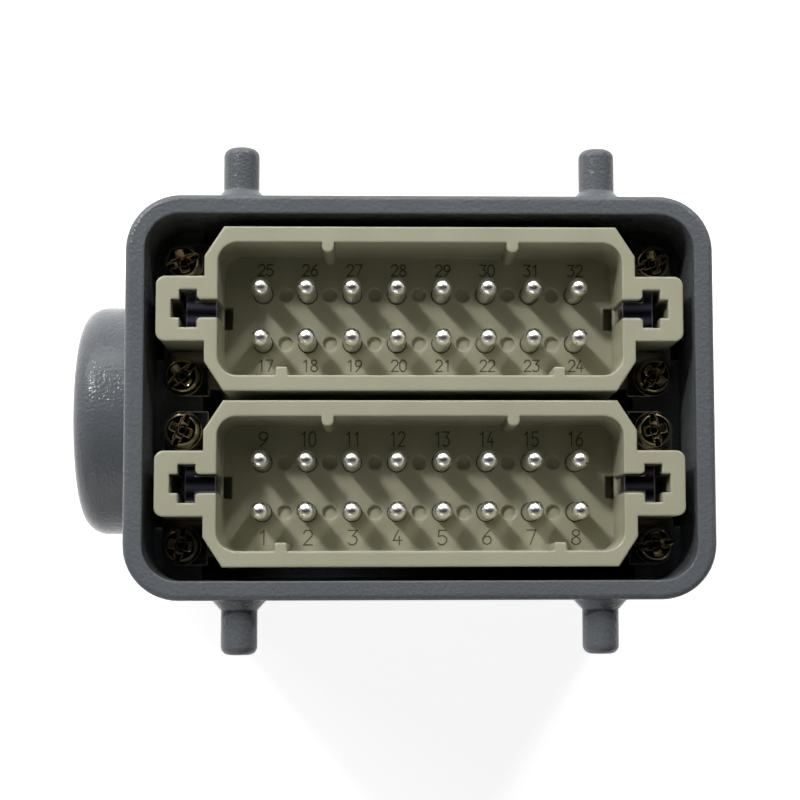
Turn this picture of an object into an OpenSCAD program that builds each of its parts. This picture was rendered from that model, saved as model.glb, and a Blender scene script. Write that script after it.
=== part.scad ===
// Rectangular heavy duty connector: a die-cast hood with a side cable entry and two pin inserts.
// Millimetres. The hood stands on its flat back at Z = 0 and the mating face looks up, along +Z.
// The long side is along X, and the cable entry is on the -X side.

/* [Hood] */
// Length over the hood's walls
hood_length = 79.6; // [79:0.1:90]
// Width over the hood's walls
hood_width = 54.8; // [54:0.1:65]
// Height from the back to the rim
hood_height = 64; // [62:0.5:90]
// Wall at the rim
hood_wall = 2.6; // [2.2:0.1:3]
// Thickness of the back
back_thickness = 3.4; // [2.5:0.1:5]
// Outer corner radius at the rim
hood_corner = 7.5; // [6:0.1:12]
// Rounding of the rim's outer edge
rim_rounding = 0.8; // [0.3:0.1:1.2]
// Rounding of the back's outer edge
back_rounding = 3; // [1:0.1:4]
// Casting draft of each wall face, over the whole height
hood_draft = 1; // [0.2:0.1:1.2]

/* [Locking pegs] */
// Peg diameter
peg_d = 4.95; // [4:0.05:6]
// Peg axis from the hood's end
peg_from_end = 15.3; // [12:0.1:20]
// Peg axis below the rim
peg_below_rim = 5; // [4.8:0.1:20]
// How far a peg stands out of the wall
peg_reach = 7.3; // [5:0.1:12]
// Diameter of the peg's flared foot
peg_foot_d = 7.3; // [6.4:0.1:8]
// Height of the flared foot
peg_foot_height = 1.3; // [0.8:0.1:2.5]
// Rounding of the peg's end
peg_end_rounding = 1.2; // [0.5:0.1:1.8]

/* [Cable entry] */
// Outer diameter of the entry boss
boss_d = 34.8; // [30:0.1:38]
// Boss axis below the rim
boss_below_rim = 40; // [38:0.5:42]
// How far the boss stands out of the wall
boss_reach = 10.6; // [6:0.1:20]
// Rounding of the boss's mouth
boss_rounding = 3.6; // [1:0.1:4]
// Outer diameter of the cable gland's thread
entry_d = 25; // [20:0.1:26]
// Lead-in chamfer of the thread
entry_chamfer = 1.1; // [0.5:0.1:1.5]

/* [Inserts] */
// Room between a collar's end and the hood's wall
end_room = 8.1; // [7.7:0.1:8.6]
// Room between a collar's side and the hood's wall
side_room = 1.85; // [1.6:0.05:2.2]
// Gap between the two collars
collar_gap = 1.3; // [1:0.05:2]
// Collar wall at the ends
collar_end_wall = 1.75; // [1.5:0.05:2]
// Collar wall along the sides
collar_side_wall = 2.1; // [1.6:0.05:2.3]
// Corner radius inside the collar
cavity_corner = 2.7; // [2:0.1:3.5]
// Draft inside the collar, over its depth
cavity_draft = 0.3; // [0.1:0.05:0.4]
// Depth from the collar's edge to the pin floor
cavity_depth = 10.7; // [9.5:0.1:13]
// Thickness of the pin floor
floor_thickness = 2; // [1.5:0.1:3]
// Whole height of an insert
insert_height = 28; // [26.5:0.1:31]
// Length of the collar's corner chamfer along X
collar_chamfer_x = 2.6; // [1:0.1:3.5]
// Length of the collar's corner chamfer along Y
collar_chamfer_y = 4; // [1:0.1:5]
// Step from the collar to the narrower rear, on the sides
rear_step_side = 1.5; // [0.5:0.1:2]
// Step from the collar to the narrower rear, at the ends
rear_step_end = 0.9; // [0.4:0.1:1.5]
// Thickness of the key ribs
rib_thickness = 1.6; // [1:0.1:2]
// How far the ribs stand out of the upper wall
upper_rib_reach = 1.3; // [0.9:0.05:1.5]
// Rounding of the upper ribs' noses
upper_rib_nose = 0.7; // [0.2:0.05:0.75]
// Rib of the upper wall from the collar's end
upper_rib_from_end = 16.6; // [14:0.1:19]
// How far the ribs stand out of the lower wall
lower_rib_reach = 1.15; // [0.9:0.05:1.5]
// Rounding of the lower ribs' noses
lower_rib_nose = 0.3; // [0.2:0.05:0.75]
// Rib of the lower wall from the collar's end
lower_rib_from_end = 10.4; // [8:0.1:13]

/* [End tabs] */
// Side of an end tab from the fixing screw's axis
tab_from_screw = 3.6; // [3.3:0.1:3.9]
// How far a tab stands out of the collar
tab_reach = 6.5; // [6:0.1:7]
// Outer corner radius of a tab
tab_corner = 1.2; // [0.5:0.1:2]
// Plastic between the collar's face and the slot's cross bar
slot_inset = 1; // [0.7:0.05:1.4]
// Width of the slot's cross bar, along X
slot_bar = 2.4; // [2.1:0.05:2.6]
// Length of the slot's cross bar, along Y
slot_length = 5.2; // [4.6:0.1:5.6]
// Depth of the outer notch, along X
notch_reach = 1.1; // [0.5:0.05:1.4]
// Width of the channel through the collar's wall
channel_width = 2.55; // [2.2:0.05:2.8]
// Rounding of the two corners between channel and cross bar
channel_corner = 0.5; // [0.2:0.1:0.8]
// Height of the wall left under the channel, over the pin floor
channel_sill = 1.4; // [0.8:0.1:3]

/* [Contacts] */
// Contacts in one row
row_count = 8; // [4:1:8]
// Axis of a row's first and last contact from the collar's end
pin_from_end = 7.35; // [7:0.05:7.7]
// Distance between the two rows
row_spacing = 6.9; // [6.7:0.05:7.1]
// Pin diameter
pin_d = 2.5; // [2:0.05:2.7]
// Pin tips below the collar's edge
pin_below_edge = 2.05; // [1.5:0.05:3]
// Diameter of the terminal sleeve behind the pin
sleeve_d = 4.6; // [4.2:0.05:4.9]
// Length of the terminal sleeve
sleeve_length = 12.6; // [11:0.1:13]
// Wire hole in the sleeve
wire_hole_d = 3; // [2.4:0.05:3.2]
// Depth of the wire hole
wire_hole_depth = 8.5; // [7:0.1:9.5]
// Diameter of the small recesses between the pins
recess_d = 1.95; // [1.2:0.05:2.4]
// Depth of those recesses
recess_depth = 0.6; // [0.3:0.1:1.2]

/* [Terminal screws] */
// Thread diameter
terminal_screw_d = 2.5; // [2:0.1:2.8]
// Head diameter
terminal_head_d = 3.9; // [3.4:0.1:4.2]
// Head height
terminal_head_height = 1.6; // [1:0.1:1.8]
// Screw axis above the sleeve's rear end
terminal_screw_height = 4; // [3:0.1:5]

/* [Fixing screws] */
// Screw axis out from the collar's end, along X
fixing_from_collar = 3.9; // [3.6:0.1:4.2]
// Screw axis in from the end of its plate, along Y
fixing_from_plate_end = 2.75; // [2.6:0.05:2.9]
// Thread diameter
fixing_d = 2.9; // [2.5:0.1:3.2]
// Head diameter
fixing_head_d = 4.9; // [4.4:0.1:5.2]
// Head height
fixing_head_height = 1.9; // [1.4:0.1:2.4]
// Screw length under the head
fixing_length = 8; // [6:0.5:10]
// Outer diameter of the washer
washer_d = 5.5; // [5.2:0.1:5.8]
// Thickness of the washer
washer_thickness = 0.5; // [0.3:0.1:0.8]

/* [End plates] */
// Width of a plate, along X
plate_width = 6.3; // [5.4:0.1:6.6]
// Gap between the plates of the two inserts
plate_gap = 2.1; // [1.6:0.1:2.8]
// Sheet thickness
plate_thickness = 1.6; // [1.2:0.1:2]
// Radius of the plate's corners at the hood's wall
plate_corner = 2.7; // [0.5:0.1:3]
// Plate top below the collar's edge
plate_below_edge = 11.9; // [11.6:0.1:12.6]
// Width of the leg that carries the earth terminal
leg_width = 7; // [6:0.1:8]
// Length of the leg under the plate
leg_length = 9.5; // [8:0.1:11]
// Thickness of the leg
leg_thickness = 1.2; // [1:0.1:1.4]

/* [Earth contacts] */
// Thickness of the blade's cross bar, along X
blade_bar = 1.35; // [1.1:0.05:1.5]
// Thickness of the blade's web, along Y
blade_web = 2.2; // [1.6:0.05:2.2]
// Blade top below the collar's edge
blade_below_edge = 1.2; // [0.6:0.1:3]
// Length of the riveted tail's section, along Y
tail_length = 3; // [2:0.1:4]
// Thread diameter of the earth terminal screw
earth_screw_d = 3.4; // [3:0.1:3.8]
// Head diameter of the earth terminal screw
earth_head_d = 6.2; // [5.4:0.1:6.4]
// Head height of the earth terminal screw
earth_head_height = 1.5; // [1.2:0.1:1.8]
// Length of the earth terminal screw under its head
earth_screw_length = 4.6; // [4:0.1:5]
// Side of the square clamping washer
clamp_side = 6.6; // [6:0.1:7]
// Thickness of the clamping washer
clamp_thickness = 0.7; // [0.5:0.1:0.9]

/* [Corner posts] */
// Length of a post, down from the end plate
post_length = 8.6; // [8:0.1:10]
// Depth of the tapped hole in a post
tap_depth = 8; // [7:0.1:8.2]
// Metal round a tapped hole, towards the middle of the hood
post_metal = 1.15; // [0.9:0.05:1.3]

/* [Clearances] */
// Diametral clearance of a thread in its tapped hole
thread_clearance = 0.04; // [0.02:0.01:0.1]
// Diametral clearance of a contact in its chamber
contact_clearance = 0.1; // [0.04:0.01:0.3]
// Diametral clearance of a screw head or shank in a plain hole
screw_clearance = 0.3; // [0.1:0.05:0.5]
// Gap between an end plate and the insert's end face
plate_clearance = 0.3; // [0.1:0.05:0.5]
// Gap on each side of an earth blade in its slot
blade_clearance = 0.15; // [0.05:0.05:0.3]
// Gap on each side of a riveted tail in its plate
tail_clearance = 0.02; // [0:0.01:0.05]

/* [Hidden] */
$fn = 48;
overlap = 1;              // how far a cutter runs past the face that it cuts
right_angle = 90;
sides = [-1, 1];

// hood
rim_z = hood_height;
cast_corner = hood_corner;
wall_outer_x = hood_length / 2;
wall_outer_y = hood_width / 2;
inner_corner = hood_corner - hood_wall;
inside_x = wall_outer_x - hood_wall;
inside_y = wall_outer_y - hood_wall;
wall_middle_x = wall_outer_x - hood_wall / 2;
wall_middle_y = wall_outer_y - hood_wall / 2;
peg_x = wall_outer_x - peg_from_end;
peg_z = rim_z - peg_below_rim;
boss_z = rim_z - boss_below_rim;
root_depth = hood_wall / 2;      // how deep a boss or peg is rooted in the drafted wall

// insert levels
floor_z = rim_z - cavity_depth;
floor_under_z = floor_z - floor_thickness;
plate_top_z = rim_z - plate_below_edge;
plate_under_z = plate_top_z - plate_thickness;
insert_rear_z = rim_z - insert_height;
lip_height = 1.6;
lip_length = 3;
lip_grip = 0.5;
collar_foot_z = plate_under_z - lip_height;
collar_x = inside_x - end_room;
collar_y = (inside_y - side_room - collar_gap / 2) / 2;
insert_pitch = 2 * collar_y + collar_gap;
cavity_x = collar_x - collar_end_wall;
cavity_y = collar_y - collar_side_wall;
tab_x = collar_x + tab_reach;
rear_x = collar_x - rear_step_end;
rear_y = collar_y - rear_step_side;

// slot in the tab
slot_start_x = collar_x + slot_inset;
slot_end_x = slot_start_x + slot_bar;
channel_z = floor_z + channel_sill;
floor_slot_x = 1.35;
floor_slot_y = 3.1;

// contacts
pin_pitch = 2 * (collar_x - pin_from_end) / (row_count - 1);
pin_tip_z = rim_z - pin_below_edge;
sleeve_rear_z = floor_under_z - sleeve_length;
chamber_width = sleeve_d + contact_clearance;
pin_hole_d = pin_d + contact_clearance;
terminal_z = sleeve_rear_z + terminal_screw_height;
terminal_tip_y = sleeve_d / 2 - 1.4;
terminal_head_y = sleeve_d / 2 + 0.3;
window_width = terminal_head_d + screw_clearance;

// end plates
plate_start_x = collar_x + plate_clearance;
plate_length = insert_pitch - plate_gap;
fixing_x = collar_x + fixing_from_collar;
fixing_y = plate_length / 2 - fixing_from_plate_end;
tab_half_y = fixing_y - tab_from_screw;
fixing_seat_z = plate_top_z + washer_thickness;

// earth blade
blade_x = slot_start_x + blade_clearance;
tail_thickness = blade_bar - 0.15;
leg_gap = 0.35;
leg_x = blade_x + blade_bar + leg_gap;
leg_end_x = leg_x + leg_thickness;
earth_screw_z = plate_under_z - leg_length + clamp_side / 2 + 0.2;

// corner posts
tap_d = fixing_d + thread_clearance;
post_x = fixing_x - tap_d / 2 - post_metal;
post_z = plate_under_z - post_length;
post_half_y = tap_d / 2 + post_metal;
inner_post_y = insert_pitch / 2 - fixing_y + post_half_y;
outer_post_y = insert_pitch / 2 + fixing_y - post_half_y;

contact_count = 4 * row_count;
function two_digits(n) = str(n < 10 ? "0" : "", n);
function contact_name(n) = str("contact_", two_digits(n));
function insert_of(n) = n <= 2 * row_count ? 1 : 2;
function row_of(n) = (n - 1) % (2 * row_count) < row_count ? -1 : 1;
function column_of(n) = (n - 1) % row_count;
function column_x(c) = (c - (row_count - 1) / 2) * pin_pitch;
function insert_y(i) = (i == 1 ? -1 : 1) * insert_pitch / 2;
function end_name(side) = side < 0 ? "left" : "right";

// ---------- shared shapes ----------

// A rectangle with round corners.
module round_rectangle(length, width, radius) {
    square([length - 2 * radius, width], center = true);
    square([length, width - 2 * radius], center = true);
    for (x = sides, y = sides)
        translate([x * (length / 2 - radius), y * (width / 2 - radius)]) circle(radius);
}

// Runs a profile round a rectangle. The profile's x = 0 is the centre of the corner radius.
module run_round(length, width, radius) {
    straight_x = length - 2 * radius;
    straight_y = width - 2 * radius;
    for (turn = [0, 1, 2, 3]) {
        odd = turn % 2;
        along = odd ? straight_x : straight_y;
        out = (odd ? straight_y : straight_x) / 2;
        rotate([0, 0, right_angle * turn]) {
            translate([out, along / 2, 0]) rotate([right_angle, 0, 0]) linear_extrude(along) children();
            translate([out, along / 2, 0]) rotate_extrude(angle = right_angle) children();
        }
    }
}

// A rod along +Z with a rounded end.
module round_ended_rod(diameter, length, rounding) {
    rotate_extrude() {
        square([diameter / 2, length - rounding]);
        square([diameter / 2 - rounding, length]);
        intersection() {
            translate([diameter / 2 - rounding, length - rounding]) circle(rounding);
            square([diameter / 2, length]);
        }
    }
}

// ---------- hood ----------

// Section of the wall and back, from the corner's centre outwards.
module wall_section() {
    foot = cast_corner - hood_draft;
    difference() {
        union() {
            polygon([
                [0, 0], [foot - back_rounding, 0], [foot - back_rounding, back_rounding],
                [foot, back_rounding], [cast_corner, rim_z - rim_rounding],
                [cast_corner - rim_rounding, rim_z - rim_rounding],
                [cast_corner - rim_rounding, rim_z], [0, rim_z]
            ]);
            intersection() {
                translate([foot - back_rounding, back_rounding]) circle(back_rounding);
                square([foot, back_rounding]);
            }
            intersection() {
                translate([cast_corner - rim_rounding, rim_z - rim_rounding]) circle(rim_rounding);
                translate([0, rim_z - rim_rounding]) square([cast_corner, rim_rounding]);
            }
        }
        polygon([
            [-overlap, back_thickness], [inner_corner - hood_draft, back_thickness],
            [inner_corner, rim_z], [inner_corner, rim_z + overlap], [-overlap, rim_z + overlap]
        ]);
    }
}

module hood_shell() {
    run_round(hood_length, hood_width, cast_corner) wall_section();
    translate([cast_corner - wall_outer_x, cast_corner - wall_outer_y, 0])
        cube([hood_length - 2 * cast_corner, hood_width - 2 * cast_corner, back_thickness]);
}

module locking_peg() {
    length = peg_reach + root_depth;
    round_ended_rod(peg_d, length, peg_end_rounding);
    rotate_extrude()
        polygon([
            [0, 0], [peg_foot_d / 2, 0], [peg_foot_d / 2, root_depth],
            [peg_d / 2, root_depth + peg_foot_height], [0, root_depth + peg_foot_height]
        ]);
}

module locking_pegs() {
    for (x = sides, y = sides)
        translate([x * peg_x, y * (wall_outer_y - root_depth), peg_z])
            rotate([-y * right_angle, 0, 0]) locking_peg();
}

module entry_boss() {
    translate([root_depth - wall_outer_x, 0, boss_z])
        rotate([0, -right_angle, 0]) round_ended_rod(boss_d, boss_reach + root_depth, boss_rounding);
}

module entry_bore() {
    mouth_x = -wall_outer_x - boss_reach;
    translate([mouth_x, 0, boss_z]) rotate([0, right_angle, 0]) {
        translate([0, 0, -overlap])
            cylinder(h = boss_reach + hood_wall + 2 * hood_draft + 2 * overlap, d = entry_d);
        cylinder(h = entry_chamfer, d1 = entry_d + 2 * entry_chamfer, d2 = entry_d);
    }
}

// Posts inside the two end walls carry the inserts' end plates.
module posts() {
    length_x = wall_middle_x - post_x;
    length_y = wall_middle_y - outer_post_y;
    for (side = sides) {
        translate([side < 0 ? -wall_middle_x : post_x, -inner_post_y, post_z])
            cube([length_x, 2 * inner_post_y, post_length]);
        for (y = sides)
            intersection() {
                translate([side < 0 ? -wall_middle_x : post_x, y < 0 ? -wall_middle_y : outer_post_y, post_z])
                    cube([length_x, length_y, post_length]);
                translate([0, 0, post_z]) linear_extrude(post_length)
                    round_rectangle(2 * wall_middle_x, 2 * wall_middle_y, cast_corner - hood_wall / 2);
            }
    }
}

module tapped_holes() {
    for (i = [1, 2], x = sides, y = sides)
        translate([x * fixing_x, insert_y(i) + y * fixing_y, plate_under_z - tap_depth])
            cylinder(h = tap_depth + overlap, d = tap_d);
}

module hood() {
    color([0.41, 0.42, 0.45])
        difference() {
            union() {
                hood_shell();
                locking_pegs();
                entry_boss();
                posts();
            }
            entry_bore();
            tapped_holes();
        }
}

// ---------- inserts ----------

// The collar's outline: a rectangle whose corners are cut off.
module collar_outline() {
    polygon([
        [collar_x, collar_y - collar_chamfer_y], [collar_x - collar_chamfer_x, collar_y],
        [collar_chamfer_x - collar_x, collar_y], [-collar_x, collar_y - collar_chamfer_y],
        [-collar_x, collar_chamfer_y - collar_y], [collar_chamfer_x - collar_x, -collar_y],
        [collar_x - collar_chamfer_x, -collar_y], [collar_x, collar_chamfer_y - collar_y]
    ]);
}

module end_tabs() {
    straight_y = tab_half_y - tab_corner;
    translate([0, 0, plate_top_z]) linear_extrude(rim_z - plate_top_z)
        for (side = sides) {
            inner = side * (collar_x - collar_end_wall / 2);
            straight_end = side * (tab_x - tab_corner);
            translate([min(inner, straight_end), -tab_half_y])
                square([abs(straight_end - inner), 2 * tab_half_y]);
            translate([side < 0 ? -tab_x : straight_end, -straight_y]) square([tab_corner, 2 * straight_y]);
            for (y = sides) translate([straight_end, y * straight_y]) circle(tab_corner);
        }
}

// Lips under the end plates hold them against the tabs.
module plate_lips() {
    reach = plate_clearance + lip_grip;
    for (side = sides, y = sides)
        translate([
            side < 0 ? -collar_x - reach : rear_x,
            y * fixing_y - lip_length / 2,
            collar_foot_z
        ])
            cube([rear_step_end + reach, lip_length, lip_height]);
}

module mating_cavity() {
    length = 2 * cavity_x;
    width = 2 * cavity_y;
    corner_x = cavity_x - cavity_corner;
    corner_y = cavity_y - cavity_corner;
    height = cavity_depth + overlap;
    translate([0, 0, floor_z]) {
        run_round(length, width, cavity_corner)
            polygon([
                [0, 0], [cavity_corner - cavity_draft, 0], [cavity_corner, cavity_depth],
                [cavity_corner, height], [0, height]
            ]);
        translate([-corner_x, -corner_y, 0]) cube([2 * corner_x, 2 * corner_y, height]);
    }
}

// A rib with a rounded nose, standing on one inner side wall.
module key_rib(x, side, reach, nose) {
    root = collar_side_wall / 2;
    half = rib_thickness / 2;
    nose_y = reach - nose;
    translate([x, side * cavity_y, floor_z - floor_thickness / 2])
        rotate([0, 0, side < 0 ? 0 : 2 * right_angle]) linear_extrude(cavity_depth + floor_thickness / 2) {
            translate([-half, -root]) square([rib_thickness, root + nose_y]);
            translate([nose - half, nose_y - overlap / 2])
                square([rib_thickness - 2 * nose, nose + overlap / 2]);
            for (turn = sides) translate([turn * (half - nose), nose_y]) circle(nose);
        }
}

module key_ribs() {
    for (x = sides) {
        key_rib(x * (collar_x - upper_rib_from_end), 1, upper_rib_reach, upper_rib_nose);
        key_rib(x * (collar_x - lower_rib_from_end), -1, lower_rib_reach, lower_rib_nose);
    }
}

// The cross-shaped slot through a tab, and the channel from it into the cavity.
module tab_slot() {
    height = rim_z - plate_top_z + 2 * overlap;
    translate([slot_start_x, -slot_length / 2, plate_top_z - overlap]) cube([slot_bar, slot_length, height]);
    translate([slot_end_x - slot_bar / 2, -channel_width / 2, plate_top_z - overlap])
        cube([notch_reach + slot_bar / 2, channel_width, height]);
    translate([cavity_x - overlap, -channel_width / 2, channel_z])
        cube([slot_start_x + slot_bar / 2 - cavity_x + overlap, channel_width, rim_z - channel_z + overlap]);
    translate([cavity_x - floor_slot_x, -floor_slot_y / 2, floor_under_z - overlap])
        cube([floor_slot_x, floor_slot_y, floor_thickness + 2 * overlap]);
    for (y = sides)
        translate([slot_start_x - channel_corner, y * (channel_width / 2 + channel_corner), channel_z])
            difference() {
                translate([0, y < 0 ? 0 : -channel_corner, 0])
                    cube([channel_corner, channel_corner, rim_z - channel_z + overlap]);
                translate([0, 0, -overlap]) cylinder(h = height, r = channel_corner);
            }
}

// A square chamber for a terminal sleeve, with a window in the side for its screw.
module contact_chamber(x, row) {
    translate([x, row * row_spacing / 2, 0]) {
        translate([0, 0, floor_under_z - overlap])
            cylinder(h = floor_thickness + 2 * overlap, d = pin_hole_d);
        translate([-chamber_width / 2, -chamber_width / 2, insert_rear_z - overlap])
            cube([chamber_width, chamber_width, floor_under_z - insert_rear_z + overlap]);
        translate([-window_width / 2, row < 0 ? -collar_y : 0, terminal_z - window_width / 2])
            cube([window_width, collar_y, window_width]);
    }
}

module floor_recesses() {
    for (c = [0 : row_count - 2], row = sides)
        translate([column_x(c) + pin_pitch / 2, row * row_spacing / 2, floor_z - recess_depth])
            cylinder(h = recess_depth + overlap, d = recess_d);
}

module insert(i) {
    color([0.74, 0.74, 0.65]) translate([0, insert_y(i), 0])
        difference() {
            union() {
                difference() {
                    union() {
                        translate([0, 0, collar_foot_z])
                            linear_extrude(rim_z - collar_foot_z) collar_outline();
                        translate([-rear_x, -rear_y, insert_rear_z])
                            cube([2 * rear_x, 2 * rear_y, floor_under_z - insert_rear_z]);
                        end_tabs();
                        plate_lips();
                    }
                    mating_cavity();
                }
                key_ribs();
            }
            for (side = [0, 1]) rotate([0, 0, 2 * right_angle * side]) tab_slot();
            for (c = [0 : row_count - 1], row = sides) contact_chamber(column_x(c), row);
            floor_recesses();
        }
}

// ---------- contacts ----------

module contact(n) {
    row = row_of(n);
    color([0.82, 0.82, 0.8])
        translate([column_x(column_of(n)), insert_y(insert_of(n)) + row * row_spacing / 2, 0])
            difference() {
                union() {
                    translate([0, 0, sleeve_rear_z]) cylinder(h = sleeve_length, d = sleeve_d);
                    translate([0, 0, floor_under_z - overlap])
                        cylinder(h = pin_tip_z - pin_d / 2 - floor_under_z + overlap, d = pin_d);
                    translate([0, 0, pin_tip_z - pin_d / 2]) sphere(d = pin_d);
                }
                translate([0, 0, sleeve_rear_z - overlap])
                    cylinder(h = wire_hole_depth + overlap, d = wire_hole_d);
                translate([0, 0, terminal_z]) rotate([-row * right_angle, 0, 0])
                    cylinder(h = sleeve_d, d = terminal_screw_d + thread_clearance);
            }
}

module terminal_screws(i) {
    head_end = terminal_head_y + terminal_head_height;
    slot_width = 0.7;
    slot_depth = 0.8;
    color([0.72, 0.72, 0.7]) translate([0, insert_y(i), terminal_z])
        for (c = [0 : row_count - 1], row = sides)
            translate([column_x(c), row * row_spacing / 2, 0]) rotate([-row * right_angle, 0, 0])
                difference() {
                    union() {
                        translate([0, 0, terminal_tip_y])
                            cylinder(h = terminal_head_y - terminal_tip_y + overlap, d = terminal_screw_d);
                        translate([0, 0, terminal_head_y])
                            cylinder(h = terminal_head_height, d = terminal_head_d);
                    }
                    translate([-terminal_head_d, -slot_width / 2, head_end - slot_depth])
                        cube([2 * terminal_head_d, slot_width, slot_depth + overlap]);
                }
}

// ---------- end plates and earth ----------

// Square corners at the collar and round ones at the hood's wall.
module plate_outline() {
    half = plate_length / 2;
    translate([plate_start_x, -half]) square([plate_width - plate_corner, plate_length]);
    translate([plate_start_x, plate_corner - half]) square([plate_width, plate_length - 2 * plate_corner]);
    for (y = sides) translate([plate_start_x + plate_width - plate_corner, y * (half - plate_corner)])
        circle(plate_corner);
}

// One bent sheet: a plate under the tab, and a leg for the earth terminal.
module end_plate(i, side) {
    tail_x = blade_x + (blade_bar - tail_thickness) / 2;
    color([0.5, 0.49, 0.47]) translate([0, insert_y(i), 0]) mirror([side < 0 ? 1 : 0, 0, 0])
        difference() {
            union() {
                translate([0, 0, plate_under_z]) linear_extrude(plate_thickness) plate_outline();
                translate([leg_x, -leg_width / 2, plate_under_z - leg_length])
                    cube([leg_thickness, leg_width, leg_length + plate_thickness / 2]);
            }
            for (y = sides)
                translate([fixing_x, y * fixing_y, plate_under_z - overlap])
                    cylinder(h = plate_thickness + 2 * overlap, d = fixing_d + screw_clearance);
            translate([tail_x - tail_clearance, -tail_length / 2 - tail_clearance, plate_under_z - overlap])
                cube([tail_thickness + 2 * tail_clearance, tail_length + 2 * tail_clearance,
                      plate_thickness + 2 * overlap]);
            translate([leg_x - overlap, 0, earth_screw_z]) rotate([0, right_angle, 0])
                cylinder(h = leg_thickness + 2 * overlap, d = earth_screw_d + thread_clearance);
        }
}

// A T-shaped blade: a cross bar and a web, with a tail riveted into the plate.
module earth_contact(i, side) {
    web_start = cavity_x + blade_clearance;
    top_z = rim_z - blade_below_edge;
    web_foot_z = channel_z + blade_clearance;
    bar_length = slot_length - 2 * blade_clearance;
    color([0.45, 0.45, 0.47]) translate([0, insert_y(i), 0]) mirror([side < 0 ? 1 : 0, 0, 0])
        union() {
            translate([blade_x, -bar_length / 2, plate_top_z])
                cube([blade_bar, bar_length, top_z - plate_top_z]);
            translate([web_start, -blade_web / 2, web_foot_z])
                cube([blade_x - web_start + blade_bar / 2, blade_web, top_z - web_foot_z]);
            translate([blade_x + (blade_bar - tail_thickness) / 2, -tail_length / 2, plate_under_z])
                cube([tail_thickness, tail_length, plate_thickness + blade_bar]);
        }
}

// Places its children at an insert's two earth terminals, looking out of the leg.
module at_earth_terminals(i) {
    translate([0, insert_y(i), earth_screw_z])
        for (turn = [0, 1])
            mirror([turn, 0, 0]) translate([leg_end_x, 0, 0]) rotate([0, right_angle, 0]) children();
}

module earth_clamps(i) {
    color([0.75, 0.74, 0.7]) at_earth_terminals(i)
        difference() {
            translate([-clamp_side / 2, -clamp_side / 2, 0]) cube([clamp_side, clamp_side, clamp_thickness]);
            translate([0, 0, -overlap])
                cylinder(h = clamp_thickness + 2 * overlap, d = earth_screw_d + screw_clearance);
        }
}

module earth_screws(i) {
    slot_width = 0.9;
    slot_depth = 0.8;
    color([0.72, 0.72, 0.7]) at_earth_terminals(i) translate([0, 0, clamp_thickness])
        difference() {
            union() {
                translate([0, 0, -earth_screw_length])
                    cylinder(h = earth_screw_length + overlap, d = earth_screw_d);
                cylinder(h = earth_head_height, d = earth_head_d);
            }
            translate([-earth_head_d, -slot_width / 2, earth_head_height - slot_depth])
                cube([2 * earth_head_d, slot_width, slot_depth + overlap]);
        }
}

// ---------- fixing screws ----------

// Each screw has been driven to its own angle: lower then upper insert, and in each the lower pair first.
SCREW_TURNS = [[[80, 9], [66, 101]], [[42, 50], [20, 19]]];
function screw_turn(i, x, y) = SCREW_TURNS[i - 1][y < 0 ? 0 : 1][x < 0 ? 0 : 1];

// A slot and a tapered cross recess share the head.
module cross_and_slot() {
    slot_width = 0.75;
    slot_depth = 0.7;
    cross_width = 1.15;
    cross_span = 3.3;
    cross_depth = 1.5;
    taper = (cross_span - cross_width) / cross_depth;
    top = fixing_head_height;
    translate([-fixing_head_d, -slot_width / 2, top - slot_depth])
        cube([2 * fixing_head_d, slot_width, slot_depth + overlap]);
    intersection() {
        translate([0, 0, top - cross_depth])
            cylinder(h = cross_depth + overlap, d1 = cross_width, d2 = cross_span + taper * overlap);
        for (turn = [0, 1])
            rotate([0, 0, right_angle * turn]) translate([-cross_span, -cross_width / 2, top - cross_depth])
                cube([2 * cross_span, cross_width, cross_depth + 2 * overlap]);
    }
}

module fixing_screw() {
    rounding = 0.5;
    difference() {
        union() {
            round_ended_rod(fixing_head_d, fixing_head_height, rounding);
            translate([0, 0, -fixing_length]) cylinder(h = fixing_length + overlap / 2, d = fixing_d);
        }
        cross_and_slot();
    }
}

module at_fixings(i) {
    for (x = sides, y = sides)
        translate([x * fixing_x, insert_y(i) + y * fixing_y, 0])
            rotate([0, 0, screw_turn(i, x, y)]) children();
}

module fixing_screws(i) {
    color([0.6, 0.6, 0.58]) translate([0, 0, fixing_seat_z]) at_fixings(i) fixing_screw();
}

module washers(i) {
    color([0.55, 0.55, 0.53]) translate([0, 0, plate_top_z]) at_fixings(i)
        difference() {
            cylinder(h = washer_thickness, d = washer_d);
            translate([0, 0, -overlap])
                cylinder(h = washer_thickness + 2 * overlap, d = fixing_d + screw_clearance);
        }
}

// ---------- nodes ----------

hood();
for (i = [1, 2]) {
    insert(i);
    terminal_screws(i);
    earth_screws(i);
    earth_clamps(i);
    fixing_screws(i);
    washers(i);
    for (side = sides) {
        end_plate(i, side);
        earth_contact(i, side);
    }
}
for (n = [1 : contact_count])
    contact(n);
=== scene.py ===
# %% [markdown]
# # A heavy duty connector hood with two pin inserts
#
# The real object is a die-cast aluminium hood in a grey powder coat. Two light plastic inserts are
# screwed into its mouth, each with sixteen silver-plated pins, and a cable can enter at the side.
# The solids arrive packed from the construction model, in metres, with +Z out of the mating face.
# This lesson gives them their finishes, adds what is too fine for the solids, such as engraved
# numbers and a thread, and sets up the studio.

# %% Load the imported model
import math

import bmesh
import bpy
from mathutils import Matrix, Vector


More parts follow.
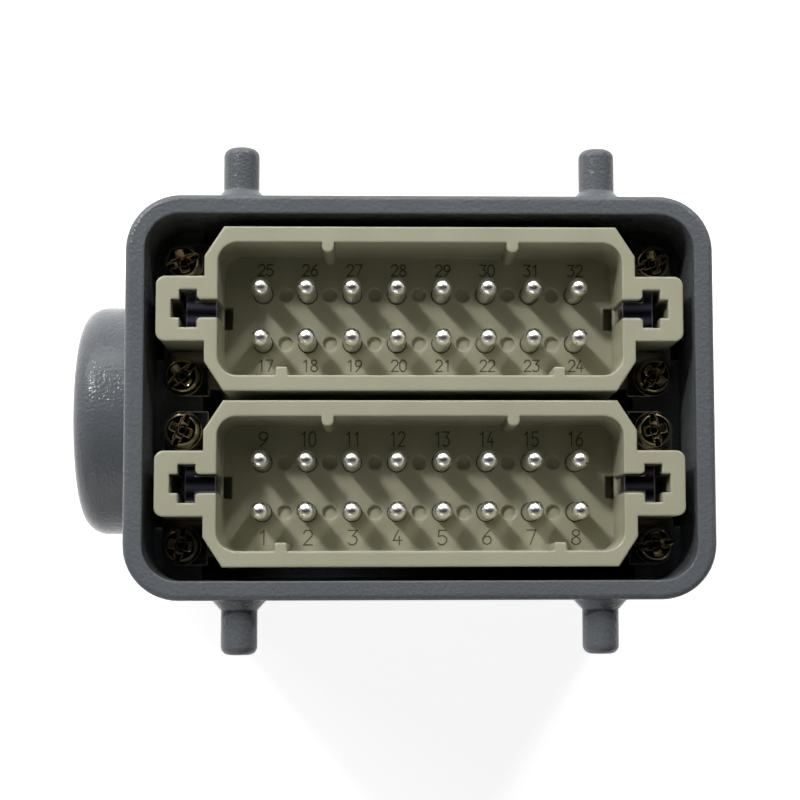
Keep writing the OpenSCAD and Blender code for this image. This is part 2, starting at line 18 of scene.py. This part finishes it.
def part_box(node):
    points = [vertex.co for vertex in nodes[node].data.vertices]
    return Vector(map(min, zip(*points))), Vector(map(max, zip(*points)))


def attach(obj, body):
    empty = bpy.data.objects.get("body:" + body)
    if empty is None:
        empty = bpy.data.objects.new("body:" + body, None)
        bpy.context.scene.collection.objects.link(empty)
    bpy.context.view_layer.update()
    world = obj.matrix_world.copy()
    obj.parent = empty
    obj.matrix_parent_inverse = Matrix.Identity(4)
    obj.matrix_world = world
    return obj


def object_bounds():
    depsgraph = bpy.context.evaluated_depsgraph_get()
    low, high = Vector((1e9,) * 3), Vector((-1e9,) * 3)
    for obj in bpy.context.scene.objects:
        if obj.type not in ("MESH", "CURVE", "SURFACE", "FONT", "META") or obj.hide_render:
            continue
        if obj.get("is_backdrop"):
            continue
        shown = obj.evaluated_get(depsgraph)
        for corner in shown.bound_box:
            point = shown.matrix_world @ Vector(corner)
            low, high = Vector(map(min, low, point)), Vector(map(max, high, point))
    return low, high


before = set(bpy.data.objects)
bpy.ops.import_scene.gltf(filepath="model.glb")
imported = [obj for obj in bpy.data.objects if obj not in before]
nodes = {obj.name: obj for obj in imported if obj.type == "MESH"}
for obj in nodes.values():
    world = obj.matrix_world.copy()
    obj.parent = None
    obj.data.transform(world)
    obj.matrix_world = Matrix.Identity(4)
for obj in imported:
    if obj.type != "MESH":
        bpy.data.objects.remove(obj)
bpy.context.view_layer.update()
MM = 0.001

# %% [markdown]
# ## Sizes
#
# Places come from the solids where they can. The rim is the top of the hood, and a pin's own box
# gives its axis, so its number follows when the pins move. A box can't tell how deep the pin floor
# or the cable entry lies, so those two depths are given below the rim.

# %% Read the sizes
hood_low, hood_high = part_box("hood")
rim_z = hood_high.z
inserts = {i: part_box(f"insert_{i}") for i in (1, 2)}
PINS_AN_INSERT = 16
PINS_A_ROW = 8


def axis_of(node):
    """The middle of a node's box, seen from above."""
    low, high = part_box(node)
    return (low.x + high.x) / 2, (low.y + high.y) / 2


def pins_of(i):
    """The numbers of the pins in insert i, its lower row first."""
    return range(PINS_AN_INSERT * (i - 1) + 1, PINS_AN_INSERT * i + 1)


pin_pitch = axis_of("contact_02")[0] - axis_of("contact_01")[0]
row_spacing = axis_of("contact_09")[1] - axis_of("contact_01")[1]
print("pin pitch and row spacing in mm:", round(pin_pitch / MM, 2), round(row_spacing / MM, 2))
for i, (low, high) in inserts.items():
    print("insert", i, "in mm:", [round((b - a) / MM, 1) for a, b in zip(low, high)])

# %% [markdown]
# ## Helpers for materials
#
# Colours are written as the hex values of a colour chart. Blender mixes light with linear values,
# so one function turns the first into the second. Another adds a node to a material, with its
# settings and its links in one line, which keeps each recipe readable. No real finish has one flat
# colour, so a last helper lets it drift in soft patches between two close tones.


# %% Colour and node helpers
def colour(hex_text):
    """sRGB hex to linear RGBA."""
    channels = [int(hex_text[i : i + 2], 16) / 255 for i in (1, 3, 5)]
    return (*[c / 12.92 if c <= 0.04045 else ((c + 0.055) / 1.055) ** 2.4 for c in channels], 1.0)


def add(tree, kind, links=(), **settings):
    """Adds a node. settings are its sockets by name or its properties, links are (socket, output)."""
    node = tree.nodes.new(kind)
    for name, value in settings.items():
        title = name.replace("_", " ").title()
        if title in node.inputs:
            node.inputs[title].default_value = value
        else:
            setattr(node, name, value)
    for socket, output in links:
        tree.links.new(output, node.inputs[socket])
    return node


def start_material(name):
    """An empty material with its shader, and the object's own coordinates."""
    material = bpy.data.materials.new(name)
    material.use_nodes = True
    tree = material.node_tree
    shader = tree.nodes["Principled BSDF"]
    coordinates = add(tree, "ShaderNodeTexCoord")
    return material, tree, shader, coordinates.outputs["Object"]


def per_metre(size_mm):
    """Texture scale whose cells are about size_mm wide."""
    return 1 / (size_mm * MM)


def mottle(tree, shader, place, patch_mm, detail, darker, lighter, span=(0.0, 1.0)):
    """Tints the shader in patches of two tones. span is the part of the noise that blends them."""
    patches = add(tree, "ShaderNodeTexNoise", [("Vector", place)], scale=per_metre(patch_mm), detail=detail)
    tint = add(tree, "ShaderNodeValToRGB", [("Fac", patches.outputs["Fac"])])
    for element, position, tone in zip(tint.color_ramp.elements, span, (darker, lighter)):
        element.position = position
        element.color = colour(tone)
    tree.links.new(tint.outputs["Color"], shader.inputs["Base Color"])


# Corners are a little rounded by the paint, the mould or the tumbling. The Bevel node bends the
# light there and leaves the solids as they are.
EDGE_SAMPLES = 6

# %% [markdown]
# ## Powder coat
#
# The hood is cast, then sprayed with a polyester powder that melts in an oven. The film levels out
# only partly, so it keeps an orange-peel skin: soft bumps half a millimetre apart that break every
# highlight into sparkles. A noise at that size drives the bump. A second, finer one changes the
# roughness a little and adds a faint bump of its own, as real powder does.


# %% Make the powder coat
def powder_coat():
    material, tree, shader, place = start_material("grey polyester powder coat")
    peel = add(tree, "ShaderNodeTexNoise", [("Vector", place)], scale=per_metre(0.48), detail=1.0)
    grain = add(tree, "ShaderNodeTexNoise", [("Vector", place)], scale=per_metre(0.3), detail=1.0)
    mottle(tree, shader, place, 9, 2.0, "#5d6064", "#616468", span=(0.3, 0.7))
    gloss = add(tree, "ShaderNodeMapRange", [("Value", grain.outputs["Fac"])])
    gloss.inputs["To Min"].default_value = 0.12
    gloss.inputs["To Max"].default_value = 0.22
    edge = add(tree, "ShaderNodeBevel", samples=EDGE_SAMPLES)
    edge.inputs["Radius"].default_value = 0.5 * MM
    bump = add(
        tree,
        "ShaderNodeBump",
        [("Height", peel.outputs["Fac"]), ("Normal", edge.outputs["Normal"])],
        strength=0.8,
        distance=0.13 * MM,
    )
    fine = add(
        tree,
        "ShaderNodeBump",
        [("Height", grain.outputs["Fac"]), ("Normal", bump.outputs["Normal"])],
        strength=0.2,
        distance=0.02 * MM,
    )
    tree.links.new(gloss.outputs["Result"], shader.inputs["Roughness"])
    tree.links.new(fine.outputs["Normal"], shader.inputs["Normal"])
    shader.inputs["IOR"].default_value = 1.3
    return material


hood_paint = powder_coat()
print("made", hood_paint.name)

# %% [markdown]
# ## Moulded insert plastic
#
# The inserts are glass-filled polycarbonate from an injection mould, in a warm pebble grey. The
# mould's spark-eroded face leaves a fine satin grain. A little light gets under the skin, which
# lifts the edges, so the shader has a short subsurface radius.


# %% Make the insert plastic
def insert_plastic():
    material, tree, shader, place = start_material("moulded pebble grey polycarbonate")
    grain = add(tree, "ShaderNodeTexNoise", [("Vector", place)], scale=per_metre(0.18), detail=2.0)
    mottle(tree, shader, place, 7, 1.0, "#a3a18a", "#a8a68f", span=(0.3, 0.7))
    edge = add(tree, "ShaderNodeBevel", samples=EDGE_SAMPLES)
    edge.inputs["Radius"].default_value = 0.42 * MM
    bump = add(
        tree,
        "ShaderNodeBump",
        [("Height", grain.outputs["Fac"]), ("Normal", edge.outputs["Normal"])],
        strength=0.25,
        distance=0.02 * MM,
    )
    tree.links.new(bump.outputs["Normal"], shader.inputs["Normal"])
    shader.inputs["Roughness"].default_value = 0.32
    shader.inputs["IOR"].default_value = 1.58
    shader.inputs["Subsurface Weight"].default_value = 0.1
    shader.inputs["Subsurface Radius"].default_value = (1.0, 0.9, 0.6)
    shader.inputs["Subsurface Scale"].default_value = 0.3 * MM
    return material


pebble_plastic = insert_plastic()
print("made", pebble_plastic.name)

# %% [markdown]
# ## Plated metals
#
# The pins are turned copper alloy with a silver plate, the plates and screws are nickelled steel,
# and the earth blades are a drawn section under nickel. All are metals, so the colour tints the
# reflection itself. What differs is the tool's trace: rings round a turned pin, long lines along a
# drawn blade, and faint blotches on sheet and screws. Real rings and lines are finer than a
# millimetre, and these are drawn one to two millimetres apart so that they show.


# %% Make the plated metals
# At a scale of 1 the wave texture turns by 20 radians a unit, so line_mm is the length of a radian
# and the lines lie 2 pi times as far apart.
WAVE_RADIANS = 20
LEAST_ROUGH, MOST_ROUGH = 0.75, 1.35


def plated_metal(name, tint, roughness, lines, line_mm, depth_mm):
    """lines is the tool's trace: RINGS round Z, BANDS that change along Y, or NONE for blotches."""
    material, tree, shader, place = start_material(name)
    if lines == "NONE":
        trace = add(tree, "ShaderNodeTexNoise", [("Vector", place)], scale=per_metre(line_mm), detail=2.0)
    else:
        trace = add(tree, "ShaderNodeTexWave", [("Vector", place)], distortion=0.4, detail=1.0)
        trace.inputs["Scale"].default_value = per_metre(line_mm) / WAVE_RADIANS
        trace.bands_direction = "Z" if lines == "RINGS" else "Y"
    shine = add(tree, "ShaderNodeMapRange", [("Value", trace.outputs["Fac"])])
    shine.inputs["To Min"].default_value = roughness * LEAST_ROUGH
    shine.inputs["To Max"].default_value = roughness * MOST_ROUGH
    edge = add(tree, "ShaderNodeBevel", samples=EDGE_SAMPLES)
    edge.inputs["Radius"].default_value = 0.2 * MM
    bump = add(
        tree,
        "ShaderNodeBump",
        [("Height", trace.outputs["Fac"]), ("Normal", edge.outputs["Normal"])],
        strength=0.3,
        distance=depth_mm * MM,
    )
    tree.links.new(shine.outputs["Result"], shader.inputs["Roughness"])
    tree.links.new(bump.outputs["Normal"], shader.inputs["Normal"])
    shader.inputs["Base Color"].default_value = colour(tint)
    shader.inputs["Metallic"].default_value = 1.0
    return material


silver_pin = plated_metal("silver-plated turned pin", "#e9e7e2", 0.26, "RINGS", 0.2, 0.001)
nickel_plate = plated_metal("bright nickel on steel sheet", "#b3aea6", 0.15, "NONE", 1.2, 0.004)
nickel_blade = plated_metal("nickel on a drawn section", "#a3a0b4", 0.16, "BANDS", 0.3, 0.004)
nickel_screw = plated_metal("tumbled nickel on screw steel", "#aca085", 0.1, "NONE", 0.6, 0.004)
zinc_screw = plated_metal("blue zinc on screw steel", "#c3c8cc", 0.3, "NONE", 0.8, 0.01)

# %% [markdown]
# ## Dressing the solids
#
# The solids' names say what they are, so the start of a name picks the finish. The terminal screws,
# earth screws and earth clamps sit at the rear of the inserts and are zinc-plated, as hidden
# fasteners often are.

# %% Dress the solids
finishes = {
    "hood": hood_paint,
    "insert": pebble_plastic,
    "contact": silver_pin,
    "end_plate": nickel_plate,
    "earth_contact": nickel_blade,
    "fixing_screws": nickel_screw,
    "washers": nickel_screw,
    "terminal_screws": zinc_screw,
    "earth_screws": zinc_screw,
    "earth_clamps": zinc_screw,
}
for node_name, node_object in nodes.items():
    kind = next(k for k in finishes if node_name.startswith(k))
    node_object.data.materials.clear()
    node_object.data.materials.append(finishes[kind])
print("dressed", len(nodes), "nodes")

# %% [markdown]
# ## Engraved numbers
#
# Each pin has its number cut into the floor beside it, with a round cutter that leaves a thin line
# of one width. A line font of a few strokes a digit is enough. Each stroke is a thin flat strip
# with round ends, laid on the floor and painted in the dark shade that a narrow groove shows from above.

# %% The line font
# Strokes are lines through points on a small grid, from the lower left corner.
GRID_WIDE, GRID_TALL = 2, 4
STROKES = {
    "0": [[(0.6, 0), (0, 0.9), (0, 3.1), (0.6, 4), (1.4, 4), (2, 3.1), (2, 0.9), (1.4, 0), (0.6, 0)]],
    "1": [[(0.4, 3.2), (1.2, 4), (1.2, 0)]],
    "2": [[(0, 3.2), (0.5, 4), (1.5, 4), (2, 3.2), (1.9, 2.4), (0, 0), (2, 0)]],
    "3": [[(0, 4), (2, 4), (1, 2.5), (1.7, 2.2), (2, 1.4), (1.8, 0.5), (1.2, 0), (0.5, 0), (0, 0.5)]],
    "4": [[(1.2, 4), (0, 1.2), (2, 1.2)], [(1.4, 2.2), (1.4, 0)]],
    "5": [[(1.9, 4), (0.3, 4), (0.1, 2.3), (1.2, 2.5), (2, 1.8), (2, 0.8), (1.3, 0), (0.5, 0), (0, 0.5)]],
    "6": [
        [(1.7, 4), (0.6, 2.7), (0, 1.5), (0.2, 0.4), (1, 0)]
        + [(1.8, 0.4), (2, 1.3), (1.6, 2.2), (0.8, 2.3), (0.1, 1.5)],
    ],
    "7": [[(0, 4), (2, 4), (0.7, 0)]],
    "8": [
        [(1, 2.2), (0.3, 2.7), (0.2, 3.5), (0.7, 4), (1.3, 4), (1.8, 3.5), (1.7, 2.7), (1, 2.2)],
        [(1, 2.2), (0.1, 1.5), (0, 0.6), (0.6, 0), (1.4, 0), (2, 0.6), (1.9, 1.5), (1, 2.2)],
    ],
    "9": [
        [(0.3, 0), (1.4, 1.3), (2, 2.5), (1.8, 3.6), (1, 4)]
        + [(0.2, 3.6), (0, 2.7), (0.4, 1.8), (1.2, 1.7), (1.9, 2.5)],
    ],
}
print("digits in the font:", len(STROKES))


# %% Build the numbers
# The two inserts come from two moulds, and each mould has its own size of number. A number of two
# digits is narrower than one of one, to leave room for the pins.
NUMBER_HEIGHT = {1: 2.0 * MM, 2: 1.58 * MM}
DIGIT_WIDTH = {1: 1.2 * MM, 2: 0.88 * MM}
DIGIT_ADVANCE = 1.16 * MM
STROKE_WIDTH = 0.21 * MM
STROKE_PROUD = 0.012 * MM
CAP_SIDES = 10
ON_THE_MIDDLE = 1e-9


def lay_stroke(bm, start, end, z):
    """A flat strip with round ends: a disc at the start, whose far half moves to the end."""
    along = Vector((end[0] - start[0], end[1] - start[1], 0))
    turn = math.atan2(along.y, along.x)
    made = bmesh.ops.create_circle(bm, cap_ends=True, segments=CAP_SIDES, radius=STROKE_WIDTH / 2)
    for vert in made["verts"]:
        if vert.co.x > ON_THE_MIDDLE:
            vert.co.x += along.length
    place = Matrix.Translation((start[0], start[1], z)) @ Matrix.Rotation(turn, 4, "Z")
    bmesh.ops.transform(bm, matrix=place, verts=made["verts"])


def lay_number(bm, text, tall, centre_x, centre_y, z):
    """The digits of a number side by side, round a centre."""
    wide = DIGIT_WIDTH[len(text)]
    width = DIGIT_ADVANCE * (len(text) - 1) + wide
    for index, digit in enumerate(text):
        left = centre_x - width / 2 + index * DIGIT_ADVANCE
        bottom = centre_y - tall / 2
        for line in STROKES[digit]:
            spots = [(left + x / GRID_WIDE * wide, bottom + y / GRID_TALL * tall) for x, y in line]
            for start, end in zip(spots, spots[1:]):
                lay_stroke(bm, start, end, z)


def turn_faces_up(bm):
    """A flat mark is seen from above, so its faces point along +Z."""
    bm.normal_update()
    for face in bm.faces:
        if face.normal.z < 0:
            face.normal_flip()


def finish_piece(name, bm, material, recalculate=True):
    """Turns a bmesh into a piece that rides on the row's body."""
    if recalculate:
        bmesh.ops.recalc_face_normals(bm, faces=bm.faces)
    mesh = bpy.data.meshes.new(name)
    bm.to_mesh(mesh)
    bm.free()
    piece = bpy.data.objects.new(name, mesh)
    bpy.context.scene.collection.objects.link(piece)
    mesh.materials.append(material)
    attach(piece, "root")
    print(name, "has", len(mesh.polygons), "faces")


# %% [markdown]
# ## Painted shade for grooves and gaps
#
# A groove's shadow is a darker tone of the plastic, and hardly any light comes back out of a narrow
# gap. Both are painted shade: a dull surface in two dark tones, with no shine of its own.


# %% Make the painted shades and the numbers
def dull_shade(name, patch_mm, darker, lighter, roughness):
    material, tree, shader, place = start_material(name)
    mottle(tree, shader, place, patch_mm, 1.0, darker, lighter)
    shader.inputs["Roughness"].default_value = roughness
    return material


# Painted shade: the dark of an engraved groove, put on the flat number strokes.
groove = dull_shade("painted shade of an engraved groove", 0.4, "#4a4838", "#65634f", 0.8)
# Painted shade: the dark inside the gap round each pin's foot.
gap_shade = dull_shade("painted shade in the gap round a pin", 0.3, "#14130e", "#26241b", 0.9)
CAVITY_DEPTH = 10.7 * MM
floor_z = rim_z - CAVITY_DEPTH
BELOW_ROW = {1: 3.5 * MM, 2: 3.1 * MM}
ABOVE_ROW = {1: 3.3 * MM, 2: 3.48 * MM}
RIGHT_OF_PIN = {1: 0.1 * MM, 2: 0.3 * MM}

for i in (1, 2):
    bm = bmesh.new()
    for n in pins_of(i):
        x, y = axis_of(f"contact_{n:02d}")
        lower_row = (n - 1) % PINS_AN_INSERT < PINS_A_ROW
        shift = -BELOW_ROW[i] if lower_row else ABOVE_ROW[i]
        lay_number(bm, str(n), NUMBER_HEIGHT[i], x + RIGHT_OF_PIN[i], y + shift, floor_z + STROKE_PROUD)
    turn_faces_up(bm)
    finish_piece(f"numbers_{i}", bm, groove, recalculate=False)

# %% [markdown]
# ## Gaps round the pins
#
# A pin snaps into its chamber from behind with a little play, so the gap round its foot lies in shade.
# Each ring of painted shade is a flat dark washer shape on the floor, made by one full spin of a short
# edge.

# %% Build the pin gaps
PIN_RADIUS = 1.25 * MM
PIN_GAP = 0.12 * MM
GAP_PROUD = 0.008 * MM
RING_STEPS = 40

for i in (1, 2):
    bm = bmesh.new()
    for n in pins_of(i):
        x, y = axis_of(f"contact_{n:02d}")
        ends = [bm.verts.new((x + r, y, floor_z + GAP_PROUD)) for r in (PIN_RADIUS, PIN_RADIUS + PIN_GAP)]
        edge = bm.edges.new(ends)
        bmesh.ops.spin(
            bm,
            geom=[*ends, edge],
            cent=(x, y, floor_z),
            axis=(0, 0, 1),
            angle=2 * math.pi,
            steps=RING_STEPS,
            use_merge=True,
        )
    turn_faces_up(bm)
    finish_piece(f"pin_gap_shade_{i}", bm, gap_shade, recalculate=False)

# %% [markdown]
# ## Thread in the cable entry
#
# A cable gland screws into the boss. Its thread, 25 mm by 1.5 mm, is too fine for the solids, so the
# lesson adds it here: a small triangle wound up along the bore, with its crest towards the axis.

# %% Build the thread
ENTRY_BELOW_RIM = 40 * MM
THREAD_RADIUS = 12.5 * MM
THREAD_PITCH = 1.5 * MM
THREAD_DEPTH = 0.8 * MM
THREAD_TURNS = 6
STEPS_A_TURN = 48
FIRST_RIDGE = 1.4 * MM

bm = bmesh.new()
start_x = hood_low.x + FIRST_RIDGE
entry_z = rim_z - ENTRY_BELOW_RIM
corners = [
    (start_x - THREAD_PITCH / 2, THREAD_RADIUS),
    (start_x, THREAD_RADIUS - THREAD_DEPTH),
    (start_x + THREAD_PITCH / 2, THREAD_RADIUS),
]
profile = bm.faces.new([bm.verts.new((x, 0, entry_z + r)) for x, r in corners])
bmesh.ops.spin(
    bm,
    geom=[profile, *profile.edges, *profile.verts],
    cent=(start_x, 0, entry_z),
    axis=(1, 0, 0),
    dvec=(THREAD_PITCH / STEPS_A_TURN, 0, 0),
    angle=2 * math.pi * THREAD_TURNS,
    steps=STEPS_A_TURN * THREAD_TURNS,
)
finish_piece("entry_thread", bm, hood_paint)

# %% [markdown]
# ## Studio
#
# The hood stands on a pale floor. Two small lamps high up, one to the left and one to the right,
# throw crossed shadows of the pins onto the pin floors. A wide lamp stands for the pale wall behind
# them, and a low one fills the near side. Their level is plain: a surface that faces them shows
# about the colour that it was given.

# %% Floor
FLOOR_SIDE = 6.0
PAPER_GLOW = 0.85
floor_mesh = bpy.data.meshes.new("studio_floor")
bm = bmesh.new()
bmesh.ops.create_grid(bm, x_segments=1, y_segments=1, size=FLOOR_SIDE / 2)
bm.to_mesh(floor_mesh)
bm.free()
floor = bpy.data.objects.new("studio_floor", floor_mesh)
bpy.context.scene.collection.objects.link(floor)
floor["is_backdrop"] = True


def floor_paper():
    """Matt paper that a lens sees as white, while the object gets only its plain bounce."""
    material, tree, shader, _ = start_material("white background paper")
    shader.inputs["Base Color"].default_value = colour("#dcdcdc")
    shader.inputs["Roughness"].default_value = 0.9
    seen = add(tree, "ShaderNodeLightPath")
    glow = add(tree, "ShaderNodeEmission", strength=PAPER_GLOW)
    dark = add(tree, "ShaderNodeEmission", strength=0.0)
    rays = add(
        tree,
        "ShaderNodeMath",
        [(0, seen.outputs["Is Camera Ray"]), (1, seen.outputs["Is Glossy Ray"])],
        operation="MAXIMUM",
    )
    pick = add(
        tree,
        "ShaderNodeMixShader",
        [(0, rays.outputs[0]), (1, dark.outputs[0]), (2, glow.outputs[0])],
    )
    both = add(tree, "ShaderNodeAddShader", [(0, shader.outputs[0]), (1, pick.outputs[0])])
    tree.links.new(both.outputs[0], tree.nodes["Material Output"].inputs["Surface"])
    return material


floor_mesh.materials.append(floor_paper())
print("floor", FLOOR_SIDE, "m a side")

# %% [markdown]
# ## Lamps
#
# Each lamp is an area light on a sphere round the mating face, given by its bearing and its height
# above the horizon, and aimed at the middle. A small one throws a sharper shadow than a wide one.

# %% Lamps
LAMP_DISTANCE = 0.9


def add_lamp(name, watts, bearing, elevation, size, depth=None):
    """An area lamp aimed at the mating face. bearing turns from +X to +Y. depth makes it oblong."""
    data = bpy.data.lights.new(name, "AREA")
    data.shape = "DISK" if depth is None else "RECTANGLE"
    data.size = size
    data.size_y = depth or size
    data.energy = watts
    lamp = bpy.data.objects.new(name, data)
    flat = math.cos(math.radians(elevation))
    turn = math.radians(bearing)
    towards = Vector((flat * math.cos(turn), flat * math.sin(turn), math.sin(math.radians(elevation))))
    lamp.location = Vector((0, 0, rim_z)) + towards * LAMP_DISTANCE
    lamp.rotation_euler = towards.to_track_quat("Z", "Y").to_euler()
    bpy.context.scene.collection.objects.link(lamp)
    print(name, watts, "W")


add_lamp("left_lamp", 4.15, bearing=131.5, elevation=46.6, size=0.10)
add_lamp("right_lamp", 1.95, bearing=54, elevation=38.7, size=0.10)
add_lamp("wall_bounce", 9.2, bearing=108, elevation=28, size=1.4, depth=0.45)
add_lamp("low_fill", 2.6, bearing=252, elevation=8, size=0.8)

# %% [markdown]
# ## World
#
# The air gives a weak fill. What shines sees the pale room round the table instead: bright on the
# side of the lamps, dimmer on the other, and a long dark patch overhead, where the camera and its
# arm hang. The patch is an ellipse: a Mapping node turns the direction of a ray, divides it by the
# patch's half sizes and flattens its height away, and whatever is then shorter than 1 lies inside.
# The floor hides the same patch underfoot.

# %% World
AIR_STRENGTH = 0.01
FAR_SIDE, NEAR_SIDE = 0.8, 0.3
DARK_LEAN = math.radians(7)
DARK_HALF_SIZE = (math.sin(math.radians(62)), math.sin(math.radians(28)))
DARK_EDGE = 0.2
FLATTEN = 1000
# The room's level changes from the near side's to the far side's between these slopes along Y.
NEAR_ENDS, FAR_STARTS = -0.6, 0.25

world = bpy.data.worlds.new("studio_air")
bpy.context.scene.world = world
world.use_nodes = True
world_tree = world.node_tree
world_tree.nodes.clear()
rays = add(world_tree, "ShaderNodeLightPath")
direction = add(world_tree, "ShaderNodeTexCoord").outputs["Generated"]
dark_patch = add(world_tree, "ShaderNodeMapping", [("Vector", direction)], vector_type="TEXTURE")
dark_patch.inputs["Rotation"].default_value = (DARK_LEAN, 0, 0)
dark_patch.inputs["Scale"].default_value = (*DARK_HALF_SIZE, FLATTEN)
from_middle = add(world_tree, "ShaderNodeVectorMath", [(0, dark_patch.outputs[0])], operation="LENGTH")
open_air = add(world_tree, "ShaderNodeMapRange", [("Value", from_middle.outputs["Value"])])
open_air.inputs["From Min"].default_value = 1 - DARK_EDGE
open_air.inputs["From Max"].default_value = 1 + DARK_EDGE
split = add(world_tree, "ShaderNodeSeparateXYZ", [("Vector", direction)])
side = add(world_tree, "ShaderNodeMapRange", [("Value", split.outputs["Y"])])
side.inputs["From Min"].default_value = NEAR_ENDS
side.inputs["From Max"].default_value = FAR_STARTS
side.inputs["To Min"].default_value = NEAR_SIDE
side.inputs["To Max"].default_value = FAR_SIDE
room = add(
    world_tree,
    "ShaderNodeMath",
    [(0, open_air.outputs["Result"]), (1, side.outputs["Result"])],
    operation="MULTIPLY",
)
air_light = add(world_tree, "ShaderNodeBackground", strength=AIR_STRENGTH)
room_light = add(world_tree, "ShaderNodeBackground", [("Strength", room.outputs["Value"])])
for light in (air_light, room_light):
    light.inputs["Color"].default_value = (1, 1, 1, 1)
pick = add(
    world_tree,
    "ShaderNodeMixShader",
    [(0, rays.outputs["Is Glossy Ray"]), (1, air_light.outputs[0]), (2, room_light.outputs[0])],
)
add(world_tree, "ShaderNodeOutputWorld", [("Surface", pick.outputs[0])])
print("world nodes:", len(world_tree.nodes))

# %% [markdown]
# ## Camera
#
# The camera looks down into the mating face from straight above, a little towards the side of the
# first contacts, close enough for the hood's depth to show. The frame is cut a little off centre, so
# the camera has a small shift.

# %% Camera
CAMERA_OVER_RIM = 0.2634
CAMERA_X = -0.00629
CAMERA_Y = -0.02606
CAMERA_TILT = math.radians(5.234)
CAMERA_LEAN = math.radians(-1.914)
CAMERA_ROLL = math.radians(-0.17)
CAMERA_LENS = 88.62
FRAME_SHIFT = (-0.05, 0.0125)

camera_data = bpy.data.cameras.new("camera")
camera_data.lens = CAMERA_LENS
camera_data.sensor_width = 36.0
camera_data.shift_x, camera_data.shift_y = FRAME_SHIFT
camera_data.clip_start = 0.01
camera = bpy.data.objects.new("camera", camera_data)
camera.location = (CAMERA_X, CAMERA_Y, rim_z + CAMERA_OVER_RIM)
camera.rotation_euler = (CAMERA_TILT, CAMERA_LEAN, CAMERA_ROLL)
bpy.context.scene.collection.objects.link(camera)
bpy.context.scene.camera = camera
bpy.context.scene.view_settings.view_transform = "Standard"
print("camera", round(CAMERA_OVER_RIM / MM), "mm over the rim")

# %% [markdown]
# ## Size of all that shows
#
# The box of all that shows is printed.

# %% Print the box of all that shows
low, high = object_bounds()
print("visual box in mm:", [round((b - a) / MM, 1) for a, b in zip(low, high)])
